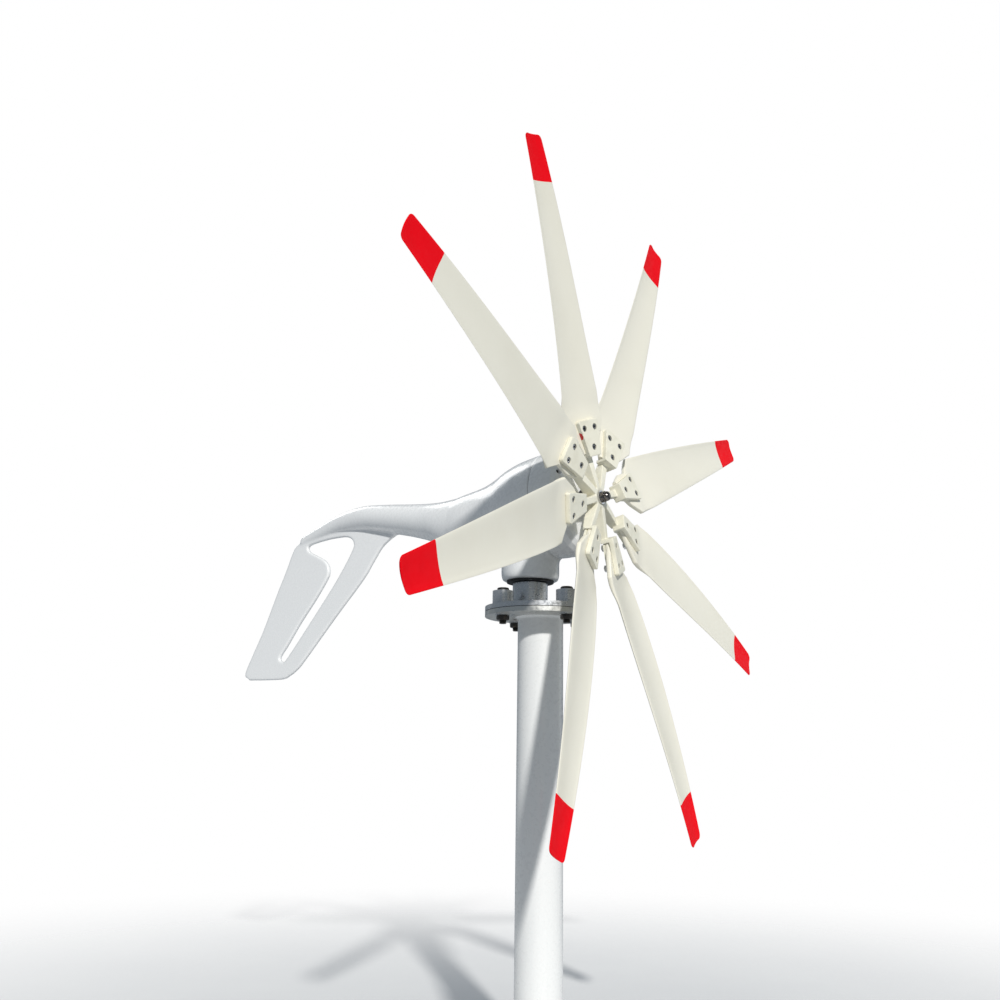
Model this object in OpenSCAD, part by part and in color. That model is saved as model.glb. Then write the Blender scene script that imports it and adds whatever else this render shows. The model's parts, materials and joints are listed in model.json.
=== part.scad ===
// Small eight-bladed upwind turbine on a flanged mast stub.
// Z is up, the rotor faces -Y, the tail points to +Y, and the rotor axis lies in the plane X = 0.
// The origin is the centre of the mast foot, on its underside.

/* [Overall] */
// Height of the rotor axis above the foot (mm)
hub_height = 880; // [780:5:1200]
// Distance the yaw axis stands behind the mast axis (mm)
yaw_setback = 21; // [0:1:30]
// Distance from the yaw axis to the front faces of the hub pads (mm)
hub_reach = 146; // [144:0.5:160]
// Upward tilt of the rotor axis (degrees)
rotor_tilt = 3; // [0:0.5:6]

/* [Blades] */
// Number of blades drawn; each is its own node
blade_count = 8; // [8]
// Angle of the first blade from +X, seen from the front (degrees)
blade_clock = 21.5; // [0:0.5:44.5]
// Radius of the blade tips (mm)
tip_radius = 602; // [500:2:700]
// Radius at which the red tip starts (mm)
red_radius = 524; // [450:2:600]
// Pitch of the hub pads and of the blade roots (degrees)
root_pitch = 13; // [6:0.5:16]
// Pitch at the tips (degrees)
tip_pitch = 4; // [0:0.5:8]
// Thickness of the blade root (mm)
root_thickness = 8; // [6:0.5:10]

/* [Hub] */
// Thickness of the pads in front of the blade roots (mm)
pad_thickness = 8; // [7:0.5:12]
// Thickness of the backing plates behind the blade roots (mm)
backing_thickness = 4; // [3:0.5:6]
// Width of the hub spokes (mm)
spoke_width = 11; // [8:0.5:16]
// Shank diameter of the blade bolts (mm)
blade_bolt_d = 6; // [5:1:8]

/* [Housing] */
// Wall thickness of the rear housing and boom (mm)
shell_wall = 5; // [4:0.5:7]
// Outer radius of the neck around the yaw bearings (mm)
neck_radius = 49.5; // [48:0.5:56]
// Thickness of the tail fin (mm)
fin_thickness = 9; // [6:0.5:12]

/* [Generator] */
// Outer radius of the stator laminations (mm)
stator_radius = 76; // [70:0.5:77]
// Inner radius of the stator laminations (mm)
stator_bore = 54; // [50:0.5:58]
// Length of the lamination stack (mm)
stack_length = 36; // [30:1:40]
// Number of stator teeth
tooth_count = 18; // [12:3:24]
// Number of magnets
magnet_count = 12; // [8:2:16]

/* [Mast] */
// Outside diameter of the mast tube (mm)
mast_d = 76; // [60:1:89]
// Wall thickness of the mast tube (mm)
mast_wall = 3.2; // [2.5:0.1:5]
// Radius of the mast flange and of the flange above it (mm)
flange_radius = 93.5; // [92:0.5:110]
// Bolt circle diameter of the flange joint (mm)
flange_pcd = 150; // [140:1:152]
// Angle of the first flange bolt from +X (degrees)
flange_clock = 66; // [0:1:89]
// Side of the square foot plate (mm)
foot_side = 240; // [200:10:320]
// Spacing of the foot holes (mm)
foot_spacing = 190; // [150:5:260]

/* [Colours] */
// Moulded blades and hub
cream = [0.88, 0.87, 0.80]; // red, green, blue, each 0 to 1
// Blade tips
red = [0.86, 0.05, 0.08]; // red, green, blue, each 0 to 1
// Painted housing, tail and mast
white = [0.90, 0.91, 0.92]; // red, green, blue, each 0 to 1
// Bare steel
steel = [0.62, 0.63, 0.64]; // red, green, blue, each 0 to 1
// Dark fasteners and seals
dark = [0.12, 0.12, 0.13]; // red, green, blue, each 0 to 1
// Copper
copper = [0.75, 0.42, 0.22]; // red, green, blue, each 0 to 1
// Bare aluminium
alloy = [0.70, 0.71, 0.73]; // red, green, blue, each 0 to 1

/* [Hidden] */
$fn = 64;

// Front face of the housing and the seam between its two halves, measured forward of the yaw axis.
front_z = 105;
seam_z = 50;
gasket_t = 0.8;
// Bearings: bore, outside diameter, width.
b6204 = [20, 47, 14];
b6203 = [17, 40, 12];
b6206 = [30, 62, 16];
b6205 = [25, 52, 15];
front_bearing_z = 86;
rear_bearing_z = 21;
// Heights of the yaw parts below the rotor axis.
lip_z = -123.5;
lower_bearing_z = lip_z + 2;
upper_bearing_z = lip_z + 24;
slip_base_z = -77.4;
holder_base_z = -84.5;
holder_height = 46;
// Faces of the flange joint, measured from the level where the two axes cross.
boss_top_z = -149;
flange_top_z = -170.5;
flange_joint_z = -178.5;
gasket_z = -179.5;
mast_top_z = -187;
// Blade bolt positions in the frame of one blade: radius, offset.
blade_holes = [[84.6, -1.5], [117.2, 12.5], [117.2, -14]];
// Heads of the blade bolts, sunk into the pads.
head_d = 9;
head_depth = 4.6;
head_hole_d = 10.8;
// Depth of the wall at the inner end of each pad.
end_wall_depth = 22;
// Angles of the bolts that join the two halves of the housing.
housing_angles = [-35, 25, 90, 155, 215];
stack_z = 46;

// Frame at the crossing of the yaw axis and the rotor axis, row axes.
module yaw_frame() {
    translate([0, yaw_setback, hub_height])
        children();
}

// The same frame tilted with the rotor axis: Y points to the tail.
module head_frame() {
    yaw_frame()
        rotate([-rotor_tilt, 0, 0])
            children();
}

// Frame with its Z axis forward along the rotor axis, X to +X and Y up.
module hub_frame() {
    head_frame()
        rotate([90, 0, 0])
            children();
}

// Frame on the mast axis, level with the crossing of the other two axes.
module mast_frame() {
    translate([0, 0, hub_height])
        children();
}

// Frame of one blade: X outward, Y across, Z forward.
module blade_frame(k) {
    hub_frame()
        rotate([0, 0, blade_clock + 45 * k])
            children();
}

// Frame on the front face of a pad, pitched about the blade's own axis.
module pad_frame() {
    translate([0, 0, hub_reach])
        rotate([-root_pitch, 0, 0])
            children();
}

// Ring with a plain rectangular section.
module ring(ri, ro, h) {
    rotate_extrude()
        translate([ri, 0])
            square([ro - ri, h]);
}

function ball_radius(b) = 0.147 * (b[1] - b[0]);
function pitch_radius(b) = (b[0] + b[1]) / 4;

module bearing_outer(b) {
    rb = ball_radius(b);
    rp = pitch_radius(b);
    rotate_extrude()
        difference() {
            translate([rp + 0.45 * rb, 0])
                square([b[1] / 2 - rp - 0.45 * rb, b[2]]);
            translate([rp, b[2] / 2])
                circle(r = rb + 0.06);
        }
}

module bearing_inner(b) {
    rb = ball_radius(b);
    rp = pitch_radius(b);
    rotate_extrude()
        difference() {
            translate([b[0] / 2 + 0.02, 0])
                square([rp - 0.45 * rb - b[0] / 2 - 0.02, b[2]]);
            translate([rp, b[2] / 2])
                circle(r = rb + 0.06);
        }
}

module bearing_balls(b) {
    rb = ball_radius(b);
    rp = pitch_radius(b);
    translate([0, 0, b[2] / 2]) {
        for (k = [0:7])
            rotate([0, 0, 45 * k])
                translate([rp, 0, 0])
                    sphere(r = rb);
        translate([0, 0, -rb / 3])
            ring(rp - 0.6, rp + 0.6, 2 * rb / 3);
    }
}

// Outside radius of the housing at a distance forward of the yaw axis.
housing_profile = [[105, 70], [103.5, 78], [99, 85], [91, 89.5], [76, 91], [56, 91], [36, 89.5],
    [13, 86.5], [-2, 83.6], [-24, 77], [-48, 67], [-72, 59], [-95, 54.5], [-115, 52], [-133, 49.5],
    [-150, 46.5]];
function housing_radius(z) = lookup(-z, [for (p = housing_profile) [-p[0], p[1]]]);

// Solid of revolution under the outside of the housing between two stations, shrunk by a wall.
module housing_body(z0, z1, wall) {
    inner = [for (p = housing_profile) if (p[0] < z1 && p[0] > z0) [p[1] - wall, p[0]]];
    top = [housing_radius(z1) - wall, z1];
    bottom = [housing_radius(z0) - wall, z0];
    rotate_extrude()
        polygon(concat([[0, z1], top], inner, [bottom, [0, z0]]));
}

// ---------------------------------------------------------------- mast

module foot_plate() {
    color(white)
        difference() {
            translate([-foot_side / 2, -foot_side / 2, 0])
                cube([foot_side, foot_side, 12]);
            translate([0, 0, -1])
                cylinder(r = 25, h = 14);
            for (x = [-1, 1])
                for (y = [-1, 1])
                    translate([x * foot_spacing / 2, y * foot_spacing / 2, -1])
                        cylinder(d = 14, h = 14);
        }
}

module mast_tube() {
    color(white)
        translate([0, 0, 12])
            ring(mast_d / 2 - mast_wall, mast_d / 2, hub_height + mast_top_z - 12);
}

module mast_gussets() {
    color(white)
        for (k = [0:3])
            rotate([0, 0, 45 + 90 * k])
                translate([mast_d / 2, 3, 12])
                    rotate([90, 0, 0])
                        linear_extrude(6)
                            polygon([[0, 0], [58, 0], [58, 8], [10, 62], [0, 62]]);
}

// Positions of the flange bolts around the mast axis.
module at_flange_bolts(z) {
    mast_frame()
        for (k = [0:3])
            rotate([0, 0, flange_clock + 90 * k])
                translate([flange_pcd / 2, 0, z])
                    children();
}

module flange_holes() {
    at_flange_bolts(mast_top_z - 5)
        cylinder(d = 13, h = 50);
}

module mast_flange() {
    color(steel)
        difference() {
            mast_frame()
                translate([0, 0, mast_top_z])
                    ring(mast_d / 2 - mast_wall, flange_radius, gasket_z - mast_top_z);
            flange_holes();
        }
}

module flange_gasket() {
    color(dark)
        difference() {
            mast_frame()
                translate([0, 0, gasket_z])
                    ring(mast_d / 2, flange_radius - 1, flange_joint_z - gasket_z);
            flange_holes();
        }
}

// Shaft radii from the flange up: shoulder, collar, under the two bearings and under the slip rings.
shoulder_r = 33;
collar_r = 29.8;
collar_top_z = -128.5;

module yaw_shaft() {
    color(alloy)
        difference() {
            union() {
                mast_frame()
                    translate([0, 0, flange_joint_z])
                        cylinder(r = flange_radius, h = flange_top_z - flange_joint_z);
                at_flange_bolts(flange_top_z - 1)
                    cylinder(r = 17.5, h = boss_top_z - flange_top_z + 1);
                yaw_frame()
                    translate([0, 0, flange_top_z - 1]) {
                        cylinder(r = shoulder_r, h = 14);
                        cylinder(r = collar_r, h = collar_top_z - flange_top_z + 1);
                        cylinder(r = 19, h = lower_bearing_z - flange_top_z + 1);
                        cylinder(r = b6206[0] / 2 - 0.02, h = upper_bearing_z - flange_top_z + 1);
                        cylinder(r = b6205[0] / 2 - 0.02, h = slip_base_z - flange_top_z + 0.9);
                        cylinder(r = 9, h = slip_base_z - flange_top_z + 36);
                    }
            }
            yaw_frame() {
                translate([0, 0, mast_top_z])
                    cylinder(r = 6, h = 160);
                translate([0, 0, mast_top_z])
                    cylinder(r = 12, h = 19);
            }
            flange_holes();
        }
}

module flange_bolts() {
    color(dark) {
        at_flange_bolts(boss_top_z + 1.2)
            cylinder(r = 10.4, h = 4.2, $fn = 6);
        at_flange_bolts(mast_top_z - 16)
            cylinder(d = 12, h = boss_top_z - mast_top_z + 17.5);
    }
}

module flange_washers() {
    color(steel) {
        at_flange_bolts(boss_top_z)
            ring(6.3, 12, 1.2);
        at_flange_bolts(mast_top_z - 2)
            ring(6.3, 12, 2);
    }
}

module flange_nuts() {
    color(dark)
        at_flange_bolts(mast_top_z - 10)
            difference() {
                cylinder(r = 11, h = 8, $fn = 6);
                translate([0, 0, -1])
                    cylinder(r = 6.05, h = 10);
            }
}

module yaw_bearing_inner_rings() {
    color(steel)
        yaw_frame() {
            translate([0, 0, lower_bearing_z])
                bearing_inner(b6206);
            translate([0, 0, upper_bearing_z])
                bearing_inner(b6205);
        }
}

module yaw_locknut() {
    color(steel)
        yaw_frame()
            translate([0, 0, upper_bearing_z + b6205[2]])
                difference() {
                    cylinder(r = 19, h = 6.5);
                    translate([0, 0, -1])
                        cylinder(r = 12.55, h = 9);
                    for (k = [0:3])
                        rotate([0, 0, 90 * k])
                            translate([17, -2.5, 3])
                                cube([4, 5, 5]);
                }
}

module slip_ring_core() {
    color(dark)
        yaw_frame()
            translate([0, 0, slip_base_z])
                rotate_extrude()
                    difference() {
                        translate([9.1, 0])
                            square([5.9, 35]);
                        for (k = [0:2])
                            translate([13, 4 + 10 * k])
                                square([3, 7]);
                    }
}

module slip_rings() {
    color(copper)
        yaw_frame()
            for (k = [0:2])
                translate([0, 0, slip_base_z + 4 + 10 * k])
                    ring(13.05, 16.5, 7);
}

// ---------------------------------------------------------------- housing

module front_housing() {
    color(white)
        hub_frame()
            difference() {
                housing_body(seam_z + gasket_t, front_z, 0);
                // Room for the stator, stepped in front of it
                translate([0, 0, -1])
                    cylinder(r = stator_radius + 0.05, h = stack_z + stack_length + 1);
                difference() {
                    translate([0, 0, stack_z + stack_length - 1])
                        cylinder(r = stator_radius - 3, h = 15);
                    translate([0, 0, 84])
                        cylinder(r = 33, h = 20);
                }
                // Front bearing, its shoulder and the seal
                translate([0, 0, 80])
                    cylinder(r = b6204[1] / 2 + 0.02, h = front_bearing_z + b6204[2] - 80);
                translate([0, 0, 90])
                    cylinder(r = 12, h = 20);
                translate([0, 0, front_z - 5])
                    cylinder(r = 19, h = 6);
                for (a = housing_angles)
                    rotate([0, 0, a])
                        translate([81, 0, 0]) {
                            cylinder(d = 4.4, h = 110);
                            translate([0, 0, 94])
                                cylinder(d = 8.4, h = 20);
                        }
            }
}

// Land behind the seam and a boss behind each bolt that crosses it.
module seam_land() {
    translate([0, 0, seam_z - 8])
        ring(stator_radius + 0.5, 90, 10);
    for (a = housing_angles)
        rotate([0, 0, a])
            translate([81, 0, seam_z - 16])
                cylinder(r = 4.4, h = 16);
}

// Lugs that carry the rear bearing bracket.
lug_angles = [0, 60, 120, 180];
lug_radius = 71;
module bracket_lugs() {
    for (a = lug_angles)
        rotate([0, 0, a])
            difference() {
                translate([66, -7, 15])
                    cube([24, 14, 6.9]);
                translate([lug_radius, 0, 10])
                    cylinder(d = 3.4, h = 20);
            }
}

module rear_housing() {
    color(white)
        difference() {
            union() {
                hub_frame()
                    housing_body(-150, seam_z, 0);
                hub_frame()
                    translate([0, 0, -170])
                        cylinder(r = 38, h = 22);
                yaw_frame()
                    rotate_extrude()
                        polygon([[0, -50], [neck_radius, -50], [neck_radius, lip_z + 11],
                            [neck_radius - 1.6, lip_z + 6], [neck_radius - 5.6, lip_z], [0, lip_z]]);
            }
            hub_frame() {
                difference() {
                    housing_body(-149.9, seam_z + 1, shell_wall);
                    seam_land();
                    bracket_lugs();
                }
                translate([0, 0, -171])
                    cylinder(r = 33, h = 30);
                for (a = housing_angles)
                    rotate([0, 0, a])
                        translate([81, 0, seam_z - 15])
                            cylinder(d = 3.4, h = 20);
                for (a = [250, 290])
                    rotate([0, 0, a])
                        translate([30, 0, -160])
                            rotate([0, 90, 0])
                                cylinder(d = 4.2, h = 12);
            }
            yaw_frame() {
                translate([0, 0, holder_base_z])
                    cylinder(r = 42, h = 55);
                translate([0, 0, upper_bearing_z])
                    cylinder(r = b6205[1] / 2 + 0.02, h = 20);
                translate([0, 0, upper_bearing_z - 15])
                    cylinder(r = 23, h = 20);
                translate([0, 0, lip_z - 1])
                    cylinder(r = b6206[1] / 2 + 0.02, h = lower_bearing_z + 16 - lip_z + 1);
                translate([0, 0, lip_z - 1])
                    cylinder(r = 40, h = 3);
                for (x = [-1, 1])
                    translate([4.5 * x, 35, holder_base_z - 10])
                        cylinder(d = 3.4, h = 12);
            }
        }
}

module housing_gasket() {
    color(dark)
        difference() {
            hub_frame()
                translate([0, 0, seam_z])
                    ring(stator_radius + 1.2, 89.8, gasket_t);
            hub_frame()
                for (a = housing_angles)
                    rotate([0, 0, a])
                        translate([81, 0, seam_z - 5])
                            cylinder(d = 4.4, h = 20);
        }
}

module housing_bolts() {
    color(dark)
        hub_frame()
            for (a = housing_angles)
                rotate([0, 0, a])
                    translate([81, 0, 0]) {
                        translate([0, 0, seam_z - 14])
                            cylinder(d = 3.3, h = 16);
                        translate([0, 0, seam_z + 1])
                            cylinder(d = 4, h = 94.5 - seam_z - 1);
                        difference() {
                            translate([0, 0, 94])
                                cylinder(d = 7.6, h = 4);
                            translate([0, 0, 96])
                                cylinder(d = 3.4, h = 3, $fn = 6);
                        }
                    }
}

// Centre line and half sizes of the boom: distance behind the yaw axis, height, half height, half width.
boom = [[150.1, 1, 46.5, 46.5], [182, 5, 42, 42], [217, 14.5, 35.5, 36.5], [255, 24, 31.5, 33],
    [294, 33, 29, 30], [334, 41.5, 26.5, 27], [373, 48.5, 24, 24], [413, 50, 20.5, 20],
    [451, 47.5, 16.5, 15.5], [487, 40.5, 13, 11.5], [520, 33, 10.5, 8.5], [544, 27, 8.5, 7]];

module boom_slice(p, wall) {
    translate([0, p[0], p[1]])
        rotate([90, 0, 0])
            linear_extrude(0.02)
                scale([p[3] - wall, p[2] - wall])
                    circle(r = 1, $fn = 32);
}

module boom_loft(first, last, wall) {
    for (i = [first:last - 1])
        hull() {
            boom_slice(boom[i], wall);
            boom_slice(boom[i + 1], wall);
        }
}

// Cross pins that hold the fin in the boom: distance behind the yaw axis, height above the rotor axis.
fin_pin_spots = [[312, 12.5], [360, 25], [470, 36]];
module at_fin_pins(x) {
    for (p = fin_pin_spots)
        translate([x, p[0], p[1]])
            rotate([0, 90, 0])
                children();
}

module tail_boom() {
    color(white)
        head_frame()
            difference() {
                boom_loft(0, 11, 0);
                boom_loft(1, 8, shell_wall - 0.5);
                translate([0, 172.5, 0])
                    rotate([90, 0, 0])
                        cylinder(r = 38.1, h = 30);
                translate([-fin_thickness / 2 - 0.05, 0, 0])
                    rotate([90, 0, 90])
                        linear_extrude(fin_thickness + 0.1)
                            fin_outline();
                at_fin_pins(-9)
                    cylinder(d = 3.1, h = 50);
                rotate([90, 0, 0])
                    for (a = [250, 290])
                        rotate([0, 0, a])
                            translate([36, 0, -160])
                                rotate([0, 90, 0])
                                    cylinder(d = 4.6, h = 20);
            }
}

// Outline of the fin: distance behind the yaw axis, height above the rotor axis.
module fin_outline() {
    difference() {
        polygon([[293, 25], [298, 6], [315, -3], [335, -16], [357, -42], [382, -72], [453, -138],
            [529, -211], [549, -228], [570, -239], [593, -244], [676, -239], [688, -234],
            [691, -222], [668, -182], [645, -144], [623, -101], [602, -60], [584, -27], [571, 0],
            [560, 18], [544, 27], [520, 33], [488, 39], [451, 42], [413, 42], [374, 39], [334, 33]]);
        polygon([[519, 17], [475, 21], [431, 20], [412, 14], [404, 3], [409, -13], [447, -64],
            [510, -134], [575, -203], [588, -209], [596, -201], [576, -178], [543, -138],
            [503, -95], [475, -61], [468, -48], [469, -34], [478, -21], [496, -10], [518, 2],
            [525, 10]]);
    }
}

module tail_fin() {
    color(white)
        head_frame()
            difference() {
                translate([-fin_thickness / 2, 0, 0])
                    rotate([90, 0, 90])
                        linear_extrude(fin_thickness)
                            fin_outline();
                at_fin_pins(-9)
                    cylinder(d = 3.1, h = 18);
            }
}

module tail_screws() {
    color(dark)
        hub_frame()
            for (a = [250, 290])
                rotate([0, 0, a])
                    translate([33.5, 0, -160])
                        rotate([0, 90, 0])
                            cylinder(d = 4, h = 9.5);
}

module fin_pins() {
    color(steel)
        head_frame()
            at_fin_pins(-8.9)
                cylinder(d = 3, h = 17.9);
}

// ---------------------------------------------------------------- generator and bearings

module rotor_bearing_outer_rings() {
    color(steel)
        hub_frame() {
            translate([0, 0, front_bearing_z])
                bearing_outer(b6204);
            translate([0, 0, rear_bearing_z])
                bearing_outer(b6203);
        }
}

module shaft_seal() {
    color(dark)
        hub_frame()
            translate([0, 0, front_z - 4.9])
                rotate_extrude()
                    polygon([[10.3, 1], [18.95, 0], [18.95, 4.6], [12, 4.6], [10.3, 3]]);
}

module bearing_bracket() {
    color(alloy)
        hub_frame()
            difference() {
                union() {
                    translate([0, 0, 22])
                        cylinder(r = stator_radius - 0.5, h = 6);
                    translate([0, 0, 20])
                        cylinder(r = 27, h = 13);
                }
                translate([0, 0, rear_bearing_z])
                    cylinder(r = b6203[1] / 2 + 0.02, h = 20);
                translate([0, 0, 10])
                    cylinder(r = 16, h = 20);
                for (k = [0:5])
                    rotate([0, 0, 30 + 60 * k])
                        translate([47, 0, 15])
                            cylinder(r = 13, h = 20);
                for (a = lug_angles)
                    rotate([0, 0, a])
                        translate([lug_radius, 0, 15])
                            cylinder(d = 4.4, h = 20);
            }
}

module bracket_screws() {
    color(dark)
        hub_frame()
            for (a = lug_angles)
                rotate([0, 0, a])
                    translate([lug_radius, 0, 16]) {
                        cylinder(d = 3.3, h = 13);
                        translate([0, 0, 12])
                            cylinder(d = 7, h = 3);
                    }
}

module stator_core() {
    tooth = 360 / tooth_count;
    color(steel)
        hub_frame()
            translate([0, 0, stack_z])
                intersection() {
                    ring(stator_bore, stator_radius, stack_length);
                    union() {
                        ring(70, 80, stack_length);
                        ring(stator_bore - 1, stator_bore + 1.8, stack_length);
                        for (k = [0:tooth_count - 1])
                            rotate([0, 0, tooth * k])
                                translate([50, -3, 0])
                                    cube([24, 6, stack_length]);
                    }
                }
}

module stator_windings() {
    tooth = 360 / tooth_count;
    color(copper)
        hub_frame()
            for (k = [0:tooth_count - 1])
                rotate([0, 0, tooth * k])
                    difference() {
                        translate([57, -7, stack_z - 7])
                            cube([12, 14, stack_length + 14]);
                        translate([50, -3.2, stack_z - 0.2])
                            cube([30, 6.4, stack_length + 0.4]);
                    }
}

// Straight wire between two points.
module wire(a, b, d) {
    v = b - a;
    h = norm(v);
    translate(a)
        rotate([0, acos(v[2] / h), atan2(v[1], v[0])])
            cylinder(d = d, h = h);
}

// A point of the head frame seen from the yaw frame.
function tilted(p) = [p[0], p[1] * cos(rotor_tilt) + p[2] * sin(rotor_tilt),
    p[2] * cos(rotor_tilt) - p[1] * sin(rotor_tilt)];

// The three leads start on neighbouring coils, pass a window of the bracket and drop to the brushes.
module winding_leads() {
    lead_d = 2.4;
    color(red)
        yaw_frame()
            for (k = [-1:1]) {
                a = 100 - 20 * k;
                p = [tilted([59 * cos(a), -37.4, 59 * sin(a)]), tilted([8 * k, -31, 46]),
                    tilted([8 * k, 2, 46]), [9 * k, 33, 30], [9 * k, 33, holder_base_z + 46.2]];
                for (i = [0:3])
                    wire(p[i], p[i + 1], lead_d);
                for (i = [1:3])
                    translate(p[i])
                        sphere(r = lead_d / 2 + 0.3);
            }
}

module brush_holder() {
    color(dark)
        yaw_frame()
            difference() {
                translate([-14, 28, holder_base_z])
                    cube([28, 11, holder_height]);
                for (x = [-1, 1])
                    translate([4.5 * x, 35, holder_base_z - 5])
                        cylinder(d = 3.2, h = holder_height + 10);
                for (k = [-1:1])
                    translate([9 * k, 33, holder_base_z + holder_height - 2])
                        cylinder(d = 2.6, h = 5);
            }
}

module brush_leaves() {
    color(copper)
        yaw_frame()
            for (k = [0:2])
                translate([-3, 21.6, slip_base_z + 5 + 10 * k]) {
                    cube([6, 0.8, 5]);
                    translate([2, 0, 1])
                        cube([2, 6.4, 3]);
                }
}

module brushes() {
    color(dark)
        yaw_frame()
            for (k = [0:2])
                translate([-3, 16.8, slip_base_z + 5 + 10 * k])
                    cube([6, 4.8, 5]);
}

module brush_holder_screws() {
    color(steel)
        yaw_frame()
            for (x = [-1, 1])
                translate([4.5 * x, 35, holder_base_z - 9]) {
                    cylinder(d = 3, h = holder_height + 9);
                    translate([0, 0, holder_height + 9])
                        cylinder(d = 5, h = 2.5);
                }
}

module yaw_bearing_outer_rings() {
    color(steel)
        yaw_frame() {
            translate([0, 0, lower_bearing_z])
                bearing_outer(b6206);
            translate([0, 0, upper_bearing_z])
                bearing_outer(b6205);
        }
}

module yaw_bearing_balls() {
    color(steel)
        yaw_frame() {
            translate([0, 0, lower_bearing_z])
                bearing_balls(b6206);
            translate([0, 0, upper_bearing_z])
                bearing_balls(b6205);
        }
}

module yaw_seal() {
    color(dark)
        yaw_frame()
            translate([0, 0, lip_z - 3.5])
                rotate_extrude()
                    polygon([[19.4, 1], [39.9, 0], [39.9, 5.2], [24, 5.2], [19.4, 3.5]]);
}

// ---------------------------------------------------------------- rotor

module hub_casting() {
    color(cream)
        difference() {
            union() {
                hub_frame()
                    translate([0, 0, hub_reach - 33])
                        cylinder(r = 18, h = 25);
                for (k = [0:blade_count - 1])
                    blade_frame(k) {
                        translate([10, -spoke_width / 2, hub_reach - 30])
                            cube([62, spoke_width, 15]);
                        translate([10, -spoke_width / 2, hub_reach - 16])
                            cube([22, spoke_width, 8]);
                        pad_frame()
                            translate([69.5, 0, -end_wall_depth])
                                linear_extrude(end_wall_depth)
                                    polygon([[0, 13.5], [0, -15.5], [6, -16.2], [6, 14.2]]);
                        pad_frame()
                            translate([0, 0, -pad_thickness])
                                linear_extrude(pad_thickness)
                                    polygon([[73, 14], [73, -16], [128, -26], [131, -24],
                                        [131, 21], [128, 23]]);
                    }
            }
            hub_frame() {
                translate([0, 0, 100])
                    cylinder(r = 8.55, h = 60);
                translate([-2.55, 0, 100])
                    cube([5.1, 11.2, 60]);
                translate([0, 0, hub_reach - 8])
                    cylinder(r = 14, h = 20);
            }
            for (k = [0:blade_count - 1])
                blade_frame(k)
                    pad_frame()
                        for (p = blade_holes) {
                            translate([p[0], p[1], -pad_thickness - 1])
                                cylinder(d = blade_bolt_d + 0.4, h = 20);
                            translate([p[0], p[1], -head_depth])
                                cylinder(d = head_hole_d, h = 10);
                        }
        }
}

// Blade shape as functions of the radius. The flat root reaches out to root_end.
root_end = 132.5;
rotor_plane = hub_reach + 17.5;
function span(r) = max(0, (r - root_end) / (tip_radius - root_end));
// Half width of the tongue under the pad, widening to the full blade between two radii.
tongue_end = 100;
trailing_start = 126;
trailing_full = 148;
leading_start = 88;
leading_full = 127;
function tongue(r) = 16 + (min(r, tongue_end) - 76) * 0.4;
function widen(r, start, full, b) = tongue(r)
    + (b - tongue(r)) * min(1, max(0, (r - start) / (full - start)));
// Half widths towards the trailing edge (+Y) and the leading edge (-Y).
function trailing(r) = widen(r, trailing_start, trailing_full, 49 - 24.7 * pow(span(r), 1.5));
function leading(r) = widen(r, leading_start, leading_full, 53 - 30 * span(r));
function blade_pitch(r) = tip_pitch + (root_pitch - tip_pitch) * pow(1 - span(r), 4.5);
function blend(r) = min(1, max(0, (r - root_end) / 46));
function chord_z(r) = rotor_plane - 26.3 + 28.7 * (1 - pow(1 - span(r), 1.75));
function root_z() = hub_reach - (pad_thickness + root_thickness / 2 + 0.02) / cos(root_pitch);
function mid_z(r) = root_z() * (1 - blend(r)) + chord_z(r) * blend(r);
function camber(r) = 0.055 * (leading(r) + trailing(r)) * blend(r);
// Half thickness at a fraction of the chord, flat at the root and streamlined further out.
function foil(u) = 2.969 * sqrt(u) - 1.26 * u - 3.516 * u * u + 2.843 * pow(u, 3) - 1.036 * pow(u, 4);
function half_t(r, u) = (1 - blend(r)) * root_thickness / 2 * (u == 0 || u == 1 ? 0.6 : 1)
    + blend(r) * max(0.45, (3.9 - 2.1 * span(r)) * foil(u));
steps = 11;
function fraction(i) = (1 - cos(180 * i / steps)) / 2;
// One point of a section: side is 1 on the front and -1 on the back.
function blade_point(r, i, side, trim) =
    let (u = fraction(i),
        y = -leading(r) * trim + (leading(r) + trailing(r)) * trim * u,
        z = -4 * camber(r) * u * (1 - u) + side * half_t(r, u),
        b = -blade_pitch(r))
    [r, y * cos(b) - z * sin(b), mid_z(r) + y * sin(b) + z * cos(b)];
function section(r, trim) = concat(
    [for (i = [0:steps]) blade_point(r, i, 1, trim)],
    [for (i = [0:steps]) blade_point(r, steps - i, -1, trim)]);

// Loft through the sections at the given radii, each with a factor that trims its width.
module blade_loft(radii) {
    n = 2 * (steps + 1);
    m = len(radii);
    points = [for (q = radii) each section(q[0], q[1])];
    sides = [for (j = [0:m - 2]) for (i = [0:n - 1])
        let (a = j * n + i, b = j * n + (i + 1) % n)
        each [[a, b, b + n], [a, b + n, a + n]]];
    caps = [for (i = [0:steps - 1])
        each [[i, n - 1 - i, n - 2 - i], [i, n - 2 - i, i + 1]]];
    far = [for (f = caps) [f[2] + (m - 1) * n, f[1] + (m - 1) * n, f[0] + (m - 1) * n]];
    polyhedron(points, concat([for (f = sides) [f[0], f[2], f[1]]], [for (f = caps) [f[0], f[2], f[1]]],
        [for (f = far) [f[0], f[2], f[1]]]));
}

blade_radii = [76, leading_start, tongue_end, 114, leading_full, root_end, trailing_full, 164, 185, 220,
    275, 335, 395, 460, red_radius];
tip_radii = [red_radius, 560, tip_radius - 6, tip_radius];

module blade(k) {
    color(cream)
        blade_frame(k)
            difference() {
                blade_loft([for (r = blade_radii) [r, 1]]);
                pad_frame()
                    for (p = blade_holes)
                        translate([p[0], p[1], -pad_thickness - root_thickness - 3])
                            cylinder(d = blade_bolt_d + 0.4, h = 14, $fn = 24);
            }
}

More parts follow.
